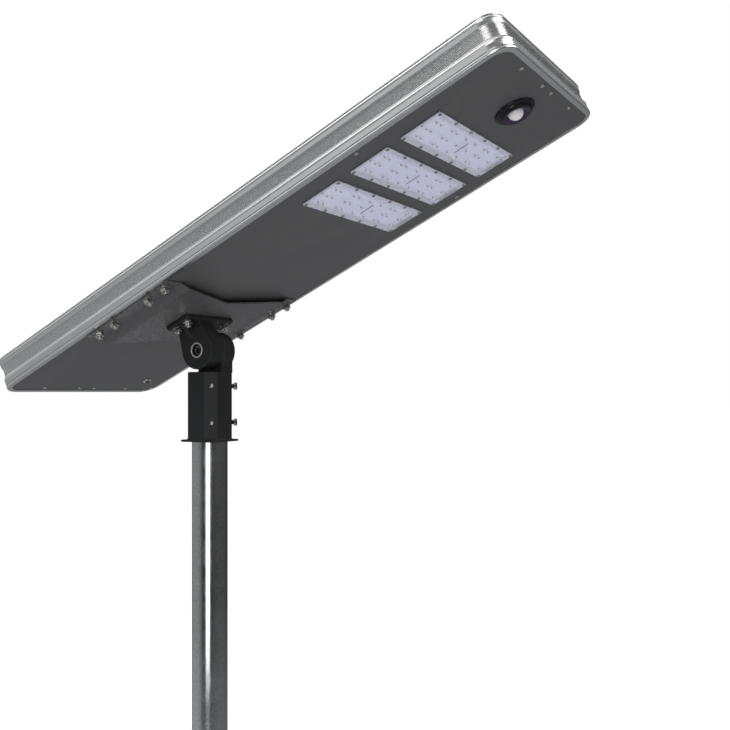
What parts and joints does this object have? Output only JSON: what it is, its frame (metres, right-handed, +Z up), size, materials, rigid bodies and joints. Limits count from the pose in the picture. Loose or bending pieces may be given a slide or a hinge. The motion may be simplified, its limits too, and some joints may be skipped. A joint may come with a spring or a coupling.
{
  "type": "solar street lamp",
  "caption": "Flat all-in-one solar street lamp head with LED modules and motion sensor, on a tilting knuckle, pole sleeve and short base-plated pole.",
  "frame": {"origin": "centre of the base plate's lower face, on the pole axis", "axes": "+Z up along the pole axis, +X towards the lit end of the head, +Y to the head's left"},
  "size_m": [0.9764, 0.344, 1.1668],
  "materials": {
    "anodised_frame": "satin anodised aluminium extrusion",
    "cover_glass": "clear tempered solar glass",
    "mono_cell": "near-black monocrystalline silicon",
    "tinned_ribbon": "tinned copper ribbon",
    "backsheet_grey": "light grey backsheet",
    "black_rubber": "black rubber",
    "panel_charcoal": "charcoal powder-coated sheet",
    "bracket_charcoal": "charcoal powder-coated steel",
    "black_casting": "black powder-coated casting",
    "stainless": "stainless steel fasteners",
    "black_steel": "blackened steel",
    "lens_clear": "clear moulded polycarbonate",
    "board_white": "white solder mask with phosphor-yellow LEDs",
    "gloss_black": "gloss black moulding",
    "dome_white": "translucent white sensor lens",
    "circuit_green": "green circuit board",
    "bare_aluminium": "mill-finish aluminium",
    "plated_steel": "zinc-plated steel",
    "cell_wrap": "blue shrink-wrapped battery cells",
    "holder_black": "black moulded plastic",
    "loom_red": "red silicone-covered loom",
    "pole_steel": "polished galvanised steel"
  },
  "bodies": {
    "pole": {"pole_tube": "pole_steel", "base_plate": "pole_steel", "base_gussets": "pole_steel"},
    "sleeve": {"pole_sleeve": "black_casting", "pivot_bolt": "black_steel", "pivot_washer": "stainless", "pivot_nut": "stainless", "clamp_screws": "stainless"},
    "head": {"frame_rail": "anodised_frame", "frame_splice": "bare_aluminium", "solar_glass": "cover_glass", "solar_cells": "mono_cell", "cell_ribbons": "tinned_ribbon", "backsheet": "backsheet_grey", "laminate_seal": "black_rubber", "junction_box": "holder_black", "bottom_panel": "panel_charcoal", "panel_screws": "stainless", "led_lens_1": "lens_clear", "led_lens_2": "lens_clear", "led_lens_3": "lens_clear", "lens_gasket_1": "black_rubber", "lens_gasket_2": "black_rubber", "lens_gasket_3": "black_rubber", "led_board_1": "board_white", "led_board_2": "board_white", "led_board_3": "board_white", "heat_spreader_1": "bare_aluminium", "heat_spreader_2": "bare_aluminium", "heat_spreader_3": "bare_aluminium", "lens_screws": "stainless", "sensor_bezel": "gloss_black", "sensor_dome": "dome_white", "sensor_board": "circuit_green", "sensor_nut": "holder_black", "button_barrel": "stainless", "button_nut": "stainless", "battery_tray": "plated_steel", "battery_cells": "cell_wrap", "cell_holders": "holder_black", "battery_straps": "bare_aluminium", "strap_screws": "stainless", "controller_case": "bare_aluminium", "controller_board": "circuit_green", "wiring_loom": "loom_red", "bracket": "bracket_charcoal", "foot_bolts": "stainless", "foot_washers": "stainless", "foot_nuts": "stainless", "knuckle_upper": "black_casting", "flange_bolts": "stainless", "flange_washers": "stainless", "flange_nuts": "stainless", "pivot_ring": "stainless"},
    "power_button": {"button_cap": "black_rubber"}
  },
  "joints": [
    {"name": "sleeve_swivel", "type": "hinge", "parent": "pole", "child": "sleeve", "pos_m": [0, 0, 0.66], "axis": [0, 0, 1], "continuous": true},
    {"name": "head_tilt", "type": "hinge", "parent": "sleeve", "child": "head", "pos_m": [0, 0, 0.755], "axis": [0, -1, 0], "range_deg": [-39.5, 40]},
    {"name": "button_push", "type": "slide", "parent": "head", "child": "power_button", "axis": [-0.4147, 0, 0.91], "range_m": [0, 0.0012], "stiffness_N_per_m": 1500, "springref_m": -0.001}
  ]
}
